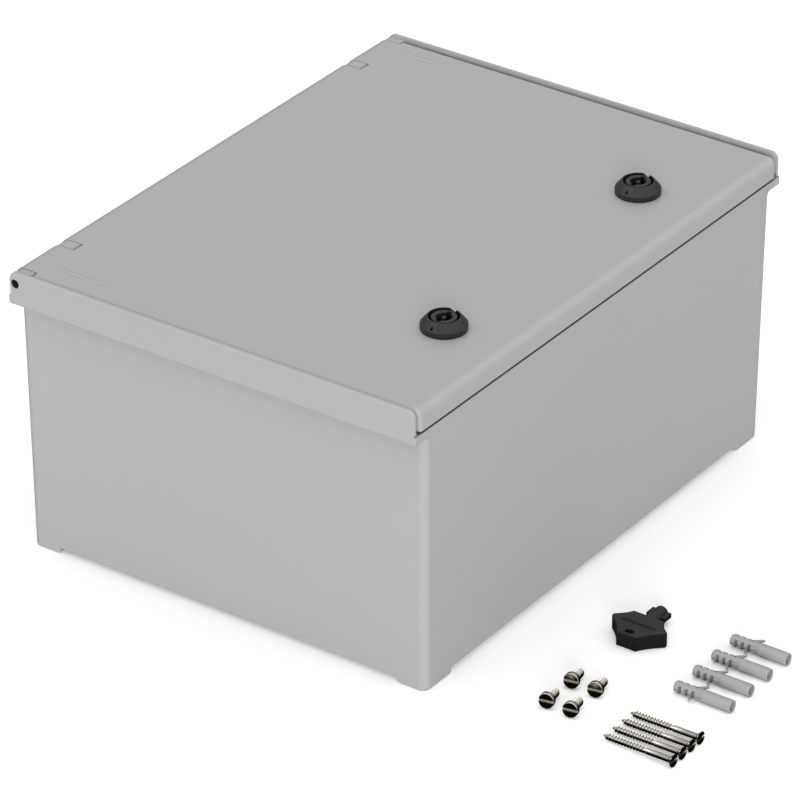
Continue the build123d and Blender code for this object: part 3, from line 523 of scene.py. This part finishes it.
def plug(sizes, x0, y0):
    """A wall plug lying along X: rings round its axis, each radius made smaller by its depth. The
    nose is a quarter ellipse. Its half is slimmer, and has a shallow line at mid height where it is
    split, and gaps between teeth on both sides, whose depth follows sqrt(sin) along each. Two flats
    and two barbs follow, and the mouth half is a plain tube with a bore."""
    full, length, split_end = sizes.plug_radius, sizes.plug_length, sizes.plug_split_length
    nose_length, nose_radius, slimmer = 2.0, 2.6, 0.15
    mouth_round, mouth_taper = 0.5, 0.25
    gaps, gap_depth, line_depth, flat_depth, deepest = 3, 1.7, 0.3, 0.3, 1.8
    flat_start, flat_end, flat_side = 15.4, 19.6, 0.75
    crowded_from, crowded_to, plain_to = 2.2, split_end + 0.6, length - 0.7
    x = np.unique(np.round(np.concatenate([
        np.linspace(0, crowded_from, 10), np.arange(crowded_from, crowded_to, 0.22),
        split_end + np.array([-0.01, 0, 0.01, 0.05, 0.3]), np.arange(crowded_to, plain_to, 1.6),
        np.linspace(plain_to, length, 5),
    ]), 3))
    beside_split = np.array([-0.17, -0.15, -0.13, 0.13, 0.15, 0.17])
    angles = round_turn(72, beside_split % (2 * np.pi), beside_split + np.pi)
    X, A = x[:, None], angles[None, :]
    nose = np.sqrt(np.clip(1 - np.clip((nose_length - X) / nose_length, 0, 1) ** 2, 0, 1))
    radius = nose_radius + (full - nose_radius) * nose - np.where(X < split_end, slimmer, 0) + 0 * A
    past = np.maximum(X - length + mouth_round, 0) / mouth_round
    radius = radius - mouth_taper * past ** 2
    in_split = (np.abs(np.sin(A) * full) < sizes.plug_split / 2 + 0.02) & (X < split_end)
    along = np.mod(X - sizes.plug_tooth_start, sizes.plug_tooth_pitch) / sizes.plug_tooth_width
    teeth_end = sizes.plug_tooth_start + gaps * sizes.plug_tooth_pitch
    in_gap = (along < 1) & (X > sizes.plug_tooth_start) & (X < teeth_end)
    # The gaps leave the top whole on one side of the plug, and the underside on the other
    side = np.where(np.cos(A) < 0, 1, -1)
    bite_from, bite_to, blend = 0.1, 0.72, 0.2
    bite = np.clip((np.abs(np.cos(A)) - bite_from) / blend, 0, 1)
    bite = bite * np.clip((bite_to - side * np.sin(A)) / blend, 0, 1)
    scallop = np.sqrt(np.abs(np.sin(np.pi * np.clip(along, 0, 1))))
    on_flat = (X > flat_start) & (X < flat_end) & (np.abs(np.cos(A)) > flat_side)
    depth = np.where(in_gap, gap_depth * scallop * bite, 0)
    depth = depth + np.where(in_split, line_depth, 0) + np.where(on_flat, flat_depth, 0)
    radius = radius * (1 - np.minimum(depth, deepest) / np.maximum(radius, 0.5))
    outer = np.stack([X + 0 * A, radius * np.cos(A), radius * np.sin(A)], -1)
    # The bore, as radius and distance from the nose: a flared mouth, a tube and a narrower end
    bore, flare, flare_length, narrowing = sizes.plug_bore_radius, 0.35, 0.3, 0.6
    narrows_from, narrows_to, bore_end = 22.0, 14.0, 13.0
    bore_line = [[bore + flare, length], [bore, length - flare_length], [bore, narrows_from],
                 [bore - narrowing, narrows_to], [0, bore_end]]
    inner = turned(np.array(bore_line), angles)[..., [2, 0, 1]]
    cap = outer[:1] * np.array([1, 0, 0])
    place = np.array([x0, y0, full])
    grids = [(np.concatenate([cap, outer, inner]) + place, True)]
    barb_root, barb_tip, barb_level, barb_height, barb_bow = 3.0, full + 3.35, 1.6, 2.0, 0.4
    # Each barb's side, where its root and tip stand along the plug, and its width at both
    barbs = ((-1, 11.6, 14.5, 2.4, 0.8), (1, 15.2, 18.4, 5.0, 1.2))
    for side, root_x, tip_x, root_width, tip_width in barbs:
        level = side * barb_level
        barb = swept_barb((root_x, side * barb_root, level), (tip_x, side * barb_tip, level),
                          root_width, tip_width, barb_height, barb_bow)
        grids.append((barb + place, True))
    return grids


def key_handle(sizes):
    """The key's winged handle: lines of constant y cross it, x = u * half width(y), on its top and
    its underside. The half width follows hollow sides out to the wings and back, each a straight
    line less 4 hollow t (1 - t); the top is rounded down near the edge and sunk in the groove. A
    side wall joins both rims."""
    length, thick, edge = sizes.key_handle_length, sizes.key_thickness, sizes.key_edge_round
    near, wing, far, hollow = 7.0, sizes.key_wing_half_width, 11.0, 1.2
    wing_start, wing_end = 14.3, 16.0
    groove_y, groove_half = sizes.key_groove_y, sizes.key_groove_width / 2
    groove_reach, groove_end = sizes.key_groove_length / 2, 0.6
    eye_radius, eye_half, eye_bevel, eye_hole = 2.0, 1.0, 0.12, 0.4
    # Lines crowd at the ends, for their rounding, at the wings' corners, the eye and the groove
    ends = edge * (1 - np.cos(np.linspace(0, np.pi / 2, 6)))
    beside = np.array([-0.3, 0, 0.3])
    y = np.unique(np.round(np.concatenate([
        ends, length - ends, np.linspace(edge, length - edge, 40), wing_start + beside,
        wing_end + beside, sizes.key_eye_y + np.linspace(-2.2, 2.2, 41),
        groove_y + np.linspace(-1.1, 1.1, 23) * groove_half,
    ]), 4))
    # Columns crowd towards the rims, so that the rounding has points, and round the eye
    u = np.unique(np.round(np.concatenate([np.sin(np.linspace(-1, 1, 71) * np.pi / 2),
                                           np.linspace(-0.37, 0.37, 61)]), 4))
    Y = y[:, None]
    rise = np.clip(Y / wing_start, 0, 1)
    fall = np.clip((Y - wing_end) / (length - wing_end), 0, 1)
    front = near + (wing - near) * rise - 4 * hollow * rise * (1 - rise)
    rear = wing + (far - wing) * fall - 4 * hollow * fall * (1 - fall)
    half = np.where(Y > wing_end, rear, front)
    X = u * half
    gap = np.minimum(half - np.abs(X), np.minimum(Y, length - Y))
    inward = np.clip(edge - gap, 0, edge)
    drop = edge - np.sqrt(edge ** 2 - inward ** 2)
    across = np.clip(np.abs(Y - groove_y) / groove_half, 0, 1)
    sunk = sizes.key_groove_depth * 0.5 * (1 + np.cos(np.pi * across))
    sunk = sunk * np.clip((groove_reach - np.abs(X)) / groove_end, 0, 1)
    # The eye: inside its outline both faces are drawn in to the middle, and further in they are open
    inside = eye_radius - np.hypot(np.maximum(np.abs(X) - eye_half, 0), Y - sizes.key_eye_y)
    drawn = np.clip(inside / eye_bevel, 0, 1)
    top_z = (thick - drop - sunk) * (1 - drawn) + drawn * thick / 2
    bottom_z = drop * (1 - drawn) + drawn * thick / 2
    missing = np.where(inside > eye_hole, np.nan, 0)
    top = np.stack([X + missing, Y + 0 * X, top_z], -1)
    bottom = np.stack([X + missing, Y + 0 * X, bottom_z], -1)
    wall = np.stack([border(top), border(bottom)])
    place = np.array([sizes.key_x, sizes.key_y, 0])
    return [(top + place, False), (bottom + place, False), (wall + place, True)]


def key_shaft(sizes):
    """The key's barrel: rings about an axis along Y. Where the bits stand, a ring's radius is
    max(barrel, min(bit reach / |cos|, bit half thickness / |sin|)). A bore runs in from the end."""
    barrel, reach, bit_half = sizes.key_barrel_radius, sizes.key_bit_reach, 1.5
    handle_end, end = sizes.key_handle_length, sizes.key_length
    # Two angles a hair apart at the bits' corners and roots, so that they stay sharp
    hair = 1e-3
    corners = np.array([math.atan2(bit_half, reach), math.asin(bit_half / barrel)])
    corners = np.concatenate([corners, np.pi - corners, np.pi + corners, 2 * np.pi - corners])
    angles = round_turn(60, corners - hair, corners + hair)
    c, s = np.abs(np.cos(angles)) + NEARLY_ZERO, np.abs(np.sin(angles)) + NEARLY_ZERO
    circle = np.ones_like(angles)
    plain = barrel * circle
    bits = np.maximum(barrel, np.minimum(reach / c, bit_half / s))
    bit_start = end - sizes.key_bit_length
    # The shaft starts inside the handle, which it leaves with a collar
    collar, inside = 0.75, 1.2
    bore, bore_floor, bore_bevel = sizes.key_bore_radius, end - 11.0, 0.3
    rings = [
        (0 * circle, handle_end - inside), (plain + collar, handle_end - inside),
        (plain + collar, handle_end), (plain + 0.3, handle_end + 0.25), (plain, handle_end + 0.9),
        (plain, bit_start - 0.01), (bits - 0.2, bit_start), (bits, bit_start + 0.25),
        (bits, end - 0.35), (bits - 0.12, end - 0.1), (bits - 0.4, end),
        ((bore + bore_bevel) * circle, end), (bore * circle, end - bore_bevel),
        (bore * circle, bore_floor), (0 * circle, bore_floor),
    ]
    place = np.array([sizes.key_x, sizes.key_y, sizes.key_thickness / 2])
    return (ringed(rings, angles)[..., [0, 2, 1]] + place, True)


# Settings

def size(label, value, text, least=0.0):
    """A size given in millimetres, which Blender keeps in metres."""
    return FloatProperty(name=label, description=text, default=value * MM, min=least * MM,
                         unit="LENGTH", precision=4)


def shade(label, code, text):
    """A colour, kept as its sRGB values."""
    return FloatVectorProperty(name=label, description=text, default=channels(code),
                               subtype="COLOR_GAMMA", size=3, min=0.0, max=1.0)


def in_millimetres(settings):
    """The lengths of the settings in millimetres, without the rounding of how they are kept."""
    sizes = SimpleNamespace()
    for setting in settings.bl_rna.properties:
        if getattr(setting, "unit", "") == "LENGTH":
            setattr(sizes, setting.identifier, round(getattr(settings, setting.identifier) / MM, 4))
    return sizes


class WallCabinetSettings(bpy.types.PropertyGroup):
    """Sizes and colours of the cabinet's dressed pieces."""
    cabinet_colour: shade("Cabinet", "#a0a09f", "Light grey of the body and door")
    lock_colour: shade("Locks", "#202121", "Near black of the locks")
    key_colour: shade("Key", "#161616", "Black of the key and the hinge pins")
    plug_colour: shade("Plugs", "#979795", "Grey of the wall plugs")
    bezel_radius: size("Bezel radius", 14.5, "Outer radius of a lock's bezel")
    lip_radius: size("Lip radius", 10.4, "Outer radius of the bezel's flat lip")
    mouth_radius: size("Mouth radius", 9.7, "Inner radius of the bezel's lip")
    bezel_height: size("Bezel height", 8.5, "Height of a bezel over the door")
    bezel_recess: size("Bezel recess", 6.5, "Depth of the step inside the lip")
    notch_width: size("Notch width", 4.6, "Width of the mark cut in the lip")
    notch_depth: size("Notch depth", 4.0, "Depth of the mark cut in the lip")
    pit_from_centre: size("Wire hole place", 12.9, "Distance of the wire hole from the lock's axis")
    pit_radius: size("Wire hole radius", 0.9, "Radius of the wire hole")
    keyhole_radius: size("Keyhole radius", 5.0, "Radius of the round keyhole")
    guide_pin_drop: size("Guide pin drop", 0.3, "How far the guide pin ends below the plug's face")
    bit_slot_half_width: size("Slot half width", 1.6, "Half the width of the slots for the key's bits")
    bit_slot_reach: size("Slot reach", 6.9, "How far the slots reach from the axis")
    key_x: size("Key X", 219.4, "Where the key lies")
    key_y: size("Key Y", -77.2, "Where the key's near end lies", least=-1000.0)
    key_thickness: size("Key thickness", 10.5, "Thickness of the handle")
    key_length: size("Key length", 40.8, "Whole length of the key")
    key_handle_length: size("Handle length", 25.8, "Length of the winged handle")
    key_wing_half_width: size("Wing reach", 19.3, "How far a wing reaches from the middle")
    key_edge_round: size("Key edge", 1.0, "Rounding of the handle's edges")
    key_groove_y: size("Groove place", 14.0, "Where the groove lies along the handle")
    key_groove_length: size("Groove length", 24.0, "Length of the groove")
    key_groove_width: size("Groove width", 3.6, "Width of the groove")
    key_groove_depth: size("Groove depth", 1.6, "Depth of the groove")
    key_eye_y: size("Eye place", 3.8, "Where the eye lies along the handle")
    key_barrel_radius: size("Barrel radius", 4.5, "Radius of the key's barrel")
    key_bit_reach: size("Bit reach", 6.7, "How far a bit reaches from the axis")
    key_bit_length: size("Bit length", 8.0, "Length of the bits")
    key_bore_radius: size("Bore radius", 1.65, "Radius of the bore in the barrel")
    plug_radius: size("Plug radius", 4.0, "Radius of a wall plug")
    plug_length: size("Plug length", 40.0, "Length of a wall plug")
    plug_bore_radius: size("Plug bore", 3.0, "Radius of a plug's mouth")
    plug_split: size("Split width", 0.8, "Width of the split in the nose half")
    plug_split_length: size("Split length", 20.0, "Length of the split")
    plug_tooth_start: size("First tooth", 3.6, "Where the first gap between teeth starts")
    plug_tooth_pitch: size("Tooth pitch", 4.6, "From tooth to tooth")
    plug_tooth_width: size("Gap width", 2.3, "Width of a gap between teeth")
    view_distance: FloatProperty(name="View distance", description="From the camera to the cabinet",
                                 default=CAMERA_DISTANCE, unit="LENGTH")
    floor_size: FloatProperty(name="Floor size", description="Side of the floor", default=40.0,
                              unit="LENGTH")
    light_strength: FloatProperty(name="Lamps", description="Strength of the three lamps", default=1.0)
    room_strength: FloatProperty(name="Room", description="Strength of the wide light overhead",
                                 default=1.0)


# Operators

LOCKS = ("lower_lock", "upper_lock")
FIXINGS_OF_A_KIND = 4


def in_a_row(middle, pitch):
    """Places of the fixings of a kind, beside each other."""
    return [middle + (place - (FIXINGS_OF_A_KIND - 1) / 2) * pitch for place in range(FIXINGS_OF_A_KIND)]


class WALL_CABINET_OT_body(bpy.types.Operator):
    """Gives the moulded body, the door, the seal, the pins and the inserts their materials"""
    bl_idname = "wall_cabinet.body"
    bl_label = "Body and Door"

    def execute(self, context):
        for node in ("body_shell", "door_panel"):
            dress(node, "grey_abs_moulded")
        dress("door_gasket", "foamed_polyurethane_seal")
        dress("plate_inserts", "turned_brass")
        for node in ("hinge_pin_lower", "hinge_pin_upper"):
            dress(node, "black_nylon_key_moulded")
        return {"FINISHED"}


class WALL_CABINET_OT_locks(bpy.types.Operator):
    """Makes both locks' housings and plugs, and dresses what holds them"""
    bl_idname = "wall_cabinet.locks"
    bl_label = "Locks"

    def execute(self, context):
        sizes = in_millimetres(context.scene.wall_cabinet)
        for lock in LOCKS:
            low, high = (np.array(corner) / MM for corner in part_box(lock + "_bezel"))
            centre_x, centre_y = (low[:2] + high[:2]) / 2
            housing = lock_housing(sizes, centre_x, centre_y, low[2], high[2])
            build(lock + "_housing", [(housing, True)], "door", "black_glass_nylon_moulded",
                  [lock + "_bezel"])
            low, high = (np.array(corner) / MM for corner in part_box(lock + "_barrel"))
            centre_x, centre_y = (low[:2] + high[:2]) / 2
            turning_plug = lock_plug(sizes, centre_x, centre_y, low[2], high[2])
            build(lock + "_turning_plug", [(turning_plug, True)], lock, "black_glass_nylon_moulded",
                  [lock + "_barrel"])
            dress(lock + "_seal", "pressed_epdm_rubber")
            for part in ("_nut", "_tongue", "_washer", "_screw"):
                dress(lock + part, "zinc_plated_steel")
        return {"FINISHED"}


class WALL_CABINET_OT_key(bpy.types.Operator):
    """Makes the double-bit key that lies beside the cabinet"""
    bl_idname = "wall_cabinet.key"
    bl_label = "Key"

    def execute(self, context):
        sizes = in_millimetres(context.scene.wall_cabinet)
        build("double_bit_key", [*key_handle(sizes), key_shaft(sizes)], "cabinet",
              "black_nylon_key_moulded", ["key"])
        return {"FINISHED"}


class WALL_CABINET_OT_fixings(bpy.types.Operator):
    """Makes the loose machine screws, wall screws and wall plugs"""
    bl_idname = "wall_cabinet.fixings"
    bl_label = "Loose Fixings"

    def execute(self, context):
        sizes = in_millimetres(context.scene.wall_cabinet)
        machine = screw(
            radius=5.0, slot_width=1.6, slot_depth=1.8, edge=0.6, floor_radius=5.0,
            under_head=[[5.0, 3.5], [4.85, 3.8], [4.6, 3.9], [3.1, 3.9], [2.6, 4.3]],
            core=2.55, crest=3.0, pitch=1.0, start=4.3, end=15.7, point_length=0,
            tooth=([0, 0.12, 0.45, 0.55, 0.88, 1], [0, 0, 1, 1, 0, 0]), steps=8)
        middle_x, middle_y, half_step_x, half_step_y = 225.5, -147.0, 8.5, 13.3
        grids = []
        for side in (-1, 1):
            for row in (-1, 1):
                grids += lying(machine, x=middle_x + side * half_step_x, y=middle_y + row * half_step_y,
                               head_radius=5.0, head_drop=3.9, tip_radius=3.0, tip_distance=12.0,
                               heading=101.5)
        build("machine_screws", grids, "cabinet", "nickel_plated_steel",
              ["plate_screws"])

        wood = screw(
            radius=4.15, slot_width=1.2, slot_depth=1.3, edge=0.0, floor_radius=3.1,
            under_head=[[4.15, 0.25], [2.15, 2.25], [2.0, 2.8], [2.0, 19.4], [1.4, 20.0]],
            core=1.3, crest=2.15, pitch=2.2, start=20.0, end=49.9, point_length=3.0,
            tooth=([0, 0.3, 0.48, 0.52, 0.7, 1], [0, 0.12, 1, 1, 0.12, 0]), steps=10)
        grids = []
        for y in in_a_row(-153.8, 9.8):
            grids += lying(wood, x=312.3, y=y, head_radius=4.15, head_drop=0, tip_radius=2.15,
                           tip_distance=46.9, heading=177.6)
        build("countersunk_screws", grids, "cabinet", "nickel_plated_steel",
              ["wall_screws"])

        nose_x = 269.5
        grids = []
        for y in in_a_row(-68.0, 21.0):
            grids += plug(sizes, nose_x, y)
        build("nylon_wall_plugs", grids, "cabinet", "grey_nylon_plug_moulded", ["wall_plugs"])
        return {"FINISHED"}


def white_floor(look):
    """A white floor that faintly glows, just under the cabinet's feet."""
    half = look.floor_size / 2
    corners = [(-half, -half, 0), (half, -half, 0), (half, half, 0), (-half, half, 0)]
    mesh = bpy.data.meshes.new("floor")
    mesh.from_pydata(corners, [], [(0, 1, 2, 3)])
    material, shader = blank("white_paper_floor")
    for socket, value in (
        ("Base Color", (0.93, 0.93, 0.93, 1)), ("Roughness", 0.9), ("Specular IOR Level", 0.1),
        ("Emission Color", (1, 1, 1, 1)), ("Emission Strength", 0.15),
    ):
        shader.inputs[socket].default_value = value
    mesh.materials.append(material)
    floor = bpy.data.objects.new("floor", mesh)
    floor.location.z = -0.2 * MM
    floor.visible_glossy = False
    bpy.context.scene.collection.objects.link(floor)


def soft_room(look):
    """A wide soft light overhead that fades towards the horizon, with hardly any below it. In the
    world, object coordinates are the direction looked in."""
    world = bpy.data.worlds.new("soft_room")
    world.use_nodes = True
    tree = world.node_tree
    background = tree.nodes["Background"].inputs
    background["Color"].default_value = (1, 1, 1, 1)
    towards = add(tree, "ShaderNodeTexCoord").outputs["Object"]
    height = add(tree, "ShaderNodeSeparateXYZ", links={"Vector": towards}).outputs["Z"]
    above = add(tree, "ShaderNodeMapRange",
                {"From Min": 0.0, "From Max": 1.0, "To Min": 0.05 * look.room_strength,
                 "To Max": 1.4 * look.room_strength}, {"Value": height})
    share = add(tree, "ShaderNodeMapRange",
                {"From Min": -0.08, "From Max": 0.08, "To Min": 0.02, "To Max": 1.0},
                {"Value": height})
    strength = add(tree, "ShaderNodeMath", operation="MULTIPLY",
                   links={0: above.outputs["Result"], 1: share.outputs["Result"]})
    tree.links.new(strength.outputs["Value"], background["Strength"])
    bpy.context.scene.world = world


def soft_lamps(look):
    """Three soft lamps, far away: the direction each stands in, its strength and how many degrees
    wide it is. The front one is low, and its reflection would be glare, so it has none."""
    for name, towards, strength, width in (
        ("front_light", (0.58, -0.77, 0.2), 2.15, 25.0),
        ("left_light", (-0.5, -0.52, 0.69), 0.25, 12.0),
        ("back_light", (0.8, 0.5, 0.35), 0.15, 60.0),
    ):
        lamp = bpy.data.lights.new(name, "SUN")
        lamp.energy = strength * look.light_strength
        lamp.angle = math.radians(width)
        light = bpy.data.objects.new(name, lamp)
        light.visible_glossy = name != "front_light"
        light.rotation_euler = Vector(towards).to_track_quat("Z", "Y").to_euler()
        bpy.context.scene.collection.objects.link(light)


def photograph_camera(look):
    """The camera, on the photograph's line of sight and with its long lens."""
    view = bpy.data.cameras.new("camera")
    view.lens = CAMERA_LENS
    view.sensor_width = CAMERA_SENSOR
    view.clip_start, view.clip_end = 0.1, 200.0
    camera = bpy.data.objects.new("camera", view)
    right = CAMERA_FORWARD.cross(Vector((0, 0, 1))).normalized()
    up = right.cross(CAMERA_FORWARD)
    turn = Matrix((right, up, -CAMERA_FORWARD)).transposed().to_4x4()
    aim = CAMERA_PLACE + CAMERA_FORWARD * CAMERA_DISTANCE
    camera.matrix_world = Matrix.Translation(aim - CAMERA_FORWARD * look.view_distance) @ turn
    bpy.context.scene.collection.objects.link(camera)
    bpy.context.scene.camera = camera


class WALL_CABINET_OT_stage(bpy.types.Operator):
    """Makes the pale floor, the soft lights and the camera at the photograph's viewing angle"""
    bl_idname = "wall_cabinet.stage"
    bl_label = "Stage"

    def execute(self, context):
        look = context.scene.wall_cabinet
        white_floor(look)
        soft_room(look)
        soft_lamps(look)
        photograph_camera(look)
        context.scene.view_settings.view_transform = "Standard"
        return {"FINISHED"}


OPERATORS = (WALL_CABINET_OT_body, WALL_CABINET_OT_locks, WALL_CABINET_OT_key,
             WALL_CABINET_OT_fixings, WALL_CABINET_OT_stage)


class WALL_CABINET_PT_sidebar(bpy.types.Panel):
    """Lists the cabinet's steps and settings"""
    bl_idname = "WALL_CABINET_PT_sidebar"
    bl_label = "Wall Cabinet"
    bl_space_type = "VIEW_3D"
    bl_region_type = "UI"
    bl_category = "Wall Cabinet"

    def draw(self, context):
        for operator in OPERATORS:
            self.layout.operator(operator.bl_idname)
        for name in WallCabinetSettings.__annotations__:
            self.layout.prop(context.scene.wall_cabinet, name)


CLASSES = (WallCabinetSettings, *OPERATORS, WALL_CABINET_PT_sidebar)


def register():
    for item in CLASSES:
        bpy.utils.register_class(item)
    bpy.types.Scene.wall_cabinet = PointerProperty(type=WallCabinetSettings)


def unregister():
    del bpy.types.Scene.wall_cabinet
    for item in reversed(CLASSES):
        bpy.utils.unregister_class(item)


def main():
    register()
    steps = bpy.ops.wall_cabinet
    for step in (steps.body, steps.locks, steps.key, steps.fixings, steps.stage):
        if step() != {"FINISHED"}:
            raise RuntimeError(step.idname_py() + " did not finish")


if __name__ == "__main__":
    main()
